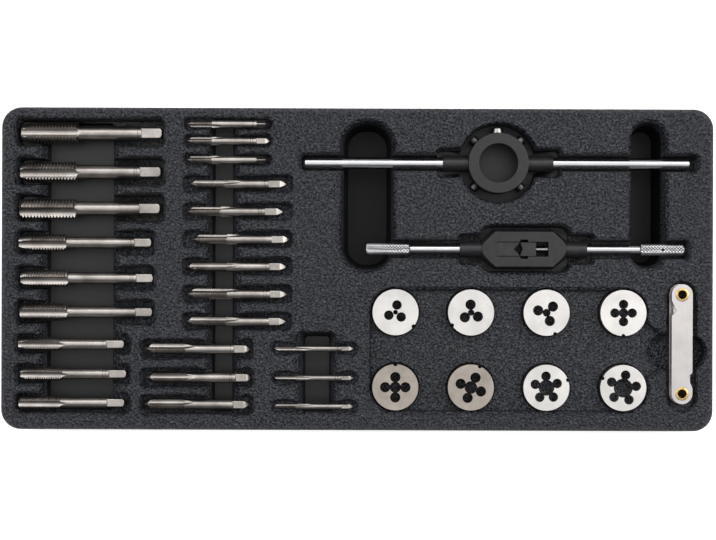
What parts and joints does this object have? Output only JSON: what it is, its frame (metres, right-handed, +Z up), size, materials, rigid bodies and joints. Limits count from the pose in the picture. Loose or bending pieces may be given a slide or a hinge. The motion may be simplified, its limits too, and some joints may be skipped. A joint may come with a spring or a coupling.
{
  "type": "tap and die storage drawer",
  "caption": "Moulded drawer insert tray with a fitted pocket for every tap, round die, die stock, tap wrench and thread gauge it holds.",
  "frame": {"origin": "middle of the tray's footprint, on the surface it lies on", "axes": "+X along the tray's long side to the right, +Y away from the person who opens the drawer, +Z up"},
  "size_m": [0.39, 0.1774, 0.0325],
  "materials": {
    "tray_plastic": "fine grained",
    "tap_steel": "ground, with darker threads",
    "die_steel": "satin",
    "dark_die_steel": "dull brownish",
    "handle_steel": "bright",
    "screw_steel": "darkened",
    "blackened_steel": "black, satin",
    "jaw_steel": "satin",
    "eyelet_brass": "polished",
    "cover_steel": "silver",
    "leaf_steel": "satin"
  },
  "bodies": {
    "tray": {"tray": "tray_plastic"},
    "tap_m12_taper": {"tap_m12_taper": "tap_steel"},
    "tap_m12_second": {"tap_m12_second": "tap_steel"},
    "tap_m12_bottoming": {"tap_m12_bottoming": "tap_steel"},
    "tap_m10_taper": {"tap_m10_taper": "tap_steel"},
    "tap_m10_second": {"tap_m10_second": "tap_steel"},
    "tap_m10_bottoming": {"tap_m10_bottoming": "tap_steel"},
    "tap_m8_taper": {"tap_m8_taper": "tap_steel"},
    "tap_m8_second": {"tap_m8_second": "tap_steel"},
    "tap_m8_bottoming": {"tap_m8_bottoming": "tap_steel"},
    "tap_m4_taper": {"tap_m4_taper": "tap_steel"},
    "tap_m4_second": {"tap_m4_second": "tap_steel"},
    "tap_m4_bottoming": {"tap_m4_bottoming": "tap_steel"},
    "tap_m5_taper": {"tap_m5_taper": "tap_steel"},
    "tap_m5_second": {"tap_m5_second": "tap_steel"},
    "tap_m5_bottoming": {"tap_m5_bottoming": "tap_steel"},
    "tap_m6_taper": {"tap_m6_taper": "tap_steel"},
    "tap_m6_second": {"tap_m6_second": "tap_steel"},
    "tap_m6_bottoming": {"tap_m6_bottoming": "tap_steel"},
    "tap_m7_taper": {"tap_m7_taper": "tap_steel"},
    "tap_m7_second": {"tap_m7_second": "tap_steel"},
    "tap_m7_bottoming": {"tap_m7_bottoming": "tap_steel"},
    "tap_m3_taper": {"tap_m3_taper": "tap_steel"},
    "tap_m3_second": {"tap_m3_second": "tap_steel"},
    "tap_m3_bottoming": {"tap_m3_bottoming": "tap_steel"},
    "die_m3": {"die_m3": "die_steel"},
    "die_m4": {"die_m4": "die_steel"},
    "die_m5": {"die_m5": "die_steel"},
    "die_m6": {"die_m6": "die_steel"},
    "die_m7": {"die_m7": "dark_die_steel"},
    "die_m8": {"die_m8": "dark_die_steel"},
    "die_m10": {"die_m10": "die_steel"},
    "die_m12": {"die_m12": "die_steel"},
    "die_stock": {"die_stock_body": "blackened_steel", "die_stock_handle_left": "handle_steel", "die_stock_handle_right": "handle_steel"},
    "die_stock_adjusting_screw": {"die_stock_adjusting_screw": "screw_steel"},
    "die_stock_retaining_screw_1": {"die_stock_retaining_screw_1": "screw_steel"},
    "die_stock_retaining_screw_2": {"die_stock_retaining_screw_2": "screw_steel"},
    "die_stock_retaining_screw_3": {"die_stock_retaining_screw_3": "screw_steel"},
    "die_stock_retaining_screw_4": {"die_stock_retaining_screw_4": "screw_steel"},
    "tap_wrench": {"tap_wrench_body": "blackened_steel", "tap_wrench_fixed_handle": "handle_steel", "tap_wrench_fixed_jaw": "jaw_steel"},
    "sliding_jaw": {"tap_wrench_sliding_jaw": "jaw_steel"},
    "adjusting_handle": {"tap_wrench_adjusting_handle": "handle_steel"},
    "gauge": {"gauge_bottom_cover": "cover_steel", "gauge_top_cover": "cover_steel", "gauge_upper_eyelet": "eyelet_brass", "gauge_lower_eyelet": "eyelet_brass", "gauge_lower_leaves": "leaf_steel"},
    "gauge_leaf_1": {"gauge_leaf_1": "leaf_steel"},
    "gauge_leaf_2": {"gauge_leaf_2": "leaf_steel"},
    "gauge_leaf_3": {"gauge_leaf_3": "leaf_steel"},
    "gauge_leaf_4": {"gauge_leaf_4": "leaf_steel"}
  },
  "joints": [
    {"name": "lift_tap_m12_taper", "type": "slide", "parent": "tray", "child": "tap_m12_taper", "axis": [0, 0, 1], "range_m": [0, 0.06]},
    {"name": "lift_tap_m12_second", "type": "slide", "parent": "tray", "child": "tap_m12_second", "axis": [0, 0, 1], "range_m": [0, 0.06]},
    {"name": "lift_tap_m12_bottoming", "type": "slide", "parent": "tray", "child": "tap_m12_bottoming", "axis": [0, 0, 1], "range_m": [0, 0.06]},
    {"name": "lift_tap_m10_taper", "type": "slide", "parent": "tray", "child": "tap_m10_taper", "axis": [0, 0, 1], "range_m": [0, 0.06]},
    {"name": "lift_tap_m10_second", "type": "slide", "parent": "tray", "child": "tap_m10_second", "axis": [0, 0, 1], "range_m": [0, 0.06]},
    {"name": "lift_tap_m10_bottoming", "type": "slide", "parent": "tray", "child": "tap_m10_bottoming", "axis": [0, 0, 1], "range_m": [0, 0.06]},
    {"name": "lift_tap_m8_taper", "type": "slide", "parent": "tray", "child": "tap_m8_taper", "axis": [0, 0, 1], "range_m": [0, 0.06]},
    {"name": "lift_tap_m8_second", "type": "slide", "parent": "tray", "child": "tap_m8_second", "axis": [0, 0, 1], "range_m": [0, 0.06]},
    {"name": "lift_tap_m8_bottoming", "type": "slide", "parent": "tray", "child": "tap_m8_bottoming", "axis": [0, 0, 1], "range_m": [0, 0.06]},
    {"name": "lift_tap_m4_taper", "type": "slide", "parent": "tray", "child": "tap_m4_taper", "axis": [0, 0, 1], "range_m": [0, 0.06]},
    {"name": "lift_tap_m4_second", "type": "slide", "parent": "tray", "child": "tap_m4_second", "axis": [0, 0, 1], "range_m": [0, 0.06]},
    {"name": "lift_tap_m4_bottoming", "type": "slide", "parent": "tray", "child": "tap_m4_bottoming", "axis": [0, 0, 1], "range_m": [0, 0.06]},
    {"name": "lift_tap_m5_taper", "type": "slide", "parent": "tray", "child": "tap_m5_taper", "axis": [0, 0, 1], "range_m": [0, 0.06]},
    {"name": "lift_tap_m5_second", "type": "slide", "parent": "tray", "child": "tap_m5_second", "axis": [0, 0, 1], "range_m": [0, 0.06]},
    {"name": "lift_tap_m5_bottoming", "type": "slide", "parent": "tray", "child": "tap_m5_bottoming", "axis": [0, 0, 1], "range_m": [0, 0.06]},
    {"name": "lift_tap_m6_taper", "type": "slide", "parent": "tray", "child": "tap_m6_taper", "axis": [0, 0, 1], "range_m": [0, 0.06]},
    {"name": "lift_tap_m6_second", "type": "slide", "parent": "tray", "child": "tap_m6_second", "axis": [0, 0, 1], "range_m": [0, 0.06]},
    {"name": "lift_tap_m6_bottoming", "type": "slide", "parent": "tray", "child": "tap_m6_bottoming", "axis": [0, 0, 1], "range_m": [0, 0.06]},
    {"name": "lift_tap_m7_taper", "type": "slide", "parent": "tray", "child": "tap_m7_taper", "axis": [0, 0, 1], "range_m": [0, 0.06]},
    {"name": "lift_tap_m7_second", "type": "slide", "parent": "tray", "child": "tap_m7_second", "axis": [0, 0, 1], "range_m": [0, 0.06]},
    {"name": "lift_tap_m7_bottoming", "type": "slide", "parent": "tray", "child": "tap_m7_bottoming", "axis": [0, 0, 1], "range_m": [0, 0.06]},
    {"name": "lift_tap_m3_taper", "type": "slide", "parent": "tray", "child": "tap_m3_taper", "axis": [0, 0, 1], "range_m": [0, 0.06]},
    {"name": "lift_tap_m3_second", "type": "slide", "parent": "tray", "child": "tap_m3_second", "axis": [0, 0, 1], "range_m": [0, 0.06]},
    {"name": "lift_tap_m3_bottoming", "type": "slide", "parent": "tray", "child": "tap_m3_bottoming", "axis": [0, 0, 1], "range_m": [0, 0.06]},
    {"name": "lift_die_m3", "type": "slide", "parent": "tray", "child": "die_m3", "axis": [0, 0, 1], "range_m": [0, 0.06]},
    {"name": "lift_die_m4", "type": "slide", "parent": "tray", "child": "die_m4", "axis": [0, 0, 1], "range_m": [0, 0.06]},
    {"name": "lift_die_m5", "type": "slide", "parent": "tray", "child": "die_m5", "axis": [0, 0, 1], "range_m": [0, 0.06]},
    {"name": "lift_die_m6", "type": "slide", "parent": "tray", "child": "die_m6", "axis": [0, 0, 1], "range_m": [0, 0.06]},
    {"name": "lift_die_m7", "type": "slide", "parent": "tray", "child": "die_m7", "axis": [0, 0, 1], "range_m": [0, 0.06]},
    {"name": "lift_die_m8", "type": "slide", "parent": "tray", "child": "die_m8", "axis": [0, 0, 1], "range_m": [0, 0.06]},
    {"name": "lift_die_m10", "type": "slide", "parent": "tray", "child": "die_m10", "axis": [0, 0, 1], "range_m": [0, 0.06]},
    {"name": "lift_die_m12", "type": "slide", "parent": "tray", "child": "die_m12", "axis": [0, 0, 1], "range_m": [0, 0.06]},
    {"name": "lift_die_stock", "type": "slide", "parent": "tray", "child": "die_stock", "axis": [0, 0, 1], "range_m": [0, 0.06]},
    {"name": "turn_die_stock_adjusting_screw", "type": "hinge", "parent": "die_stock", "child": "die_stock_adjusting_screw", "pos_m": [0.0768, 0.0747, 0.01795], "axis": [0, 1, 0], "range_deg": [0, 720]},
    {"name": "turn_die_stock_retaining_screw_1", "type": "hinge", "parent": "die_stock", "child": "die_stock_retaining_screw_1", "pos_m": [0.08847, 0.06987, 0.01795], "axis": [0.7071, 0.7071, 0], "range_deg": [0, 720]},
    {"name": "turn_die_stock_retaining_screw_2", "type": "hinge", "parent": "die_stock", "child": "die_stock_retaining_screw_2", "pos_m": [0.06513, 0.06987, 0.01795], "axis": [-0.7071, 0.7071, 0], "range_deg": [0, 720]},
    {"name": "turn_die_stock_retaining_screw_3", "type": "hinge", "parent": "die_stock", "child": "die_stock_retaining_screw_3", "pos_m": [0.06513, 0.04653, 0.01795], "axis": [-0.7071, -0.7071, 0], "range_deg": [0, 720]},
    {"name": "turn_die_stock_retaining_screw_4", "type": "hinge", "parent": "die_stock", "child": "die_stock_retaining_screw_4", "pos_m": [0.08847, 0.04653, 0.01795], "axis": [0.7071, -0.7071, 0], "range_deg": [0, 720]},
    {"name": "lift_tap_wrench", "type": "slide", "parent": "tray", "child": "tap_wrench", "axis": [0, 0, 1], "range_m": [0, 0.06]},
    {"name": "jaw_slide", "type": "slide", "parent": "tap_wrench", "child": "sliding_jaw", "axis": [1, 0, 0], "range_m": [0, 0.0055]},
    {"name": "adjusting_screw_turn", "type": "hinge", "parent": "tap_wrench", "child": "adjusting_handle", "pos_m": [0.14, 0.0112, 0.0218], "axis": [1, 0, 0], "range_deg": [0, 1980]},
    {"name": "lift_gauge", "type": "slide", "parent": "tray", "child": "gauge", "axis": [0, 0, 1], "range_m": [0, 0.06]},
    {"name": "swing_gauge_leaf_1", "type": "hinge", "parent": "gauge", "child": "gauge_leaf_1", "pos_m": [0.1759, -0.0132, 0.0287], "axis": [0, 0, -1], "range_deg": [0, 170]},
    {"name": "swing_gauge_leaf_2", "type": "hinge", "parent": "gauge", "child": "gauge_leaf_2", "pos_m": [0.1759, -0.0132, 0.0294], "axis": [0, 0, -1], "range_deg": [0, 170]},
    {"name": "swing_gauge_leaf_3", "type": "hinge", "parent": "gauge", "child": "gauge_leaf_3", "pos_m": [0.1759, -0.0132, 0.0301], "axis": [0, 0, -1], "range_deg": [0, 170]},
    {"name": "swing_gauge_leaf_4", "type": "hinge", "parent": "gauge", "child": "gauge_leaf_4", "pos_m": [0.1759, -0.0132, 0.0308], "axis": [0, 0, -1], "range_deg": [0, 170]}
  ],
  "couplings": [
    {"joint": "jaw_slide", "follows": "adjusting_screw_turn", "m_per_rad": 0.00015915}
  ]
}
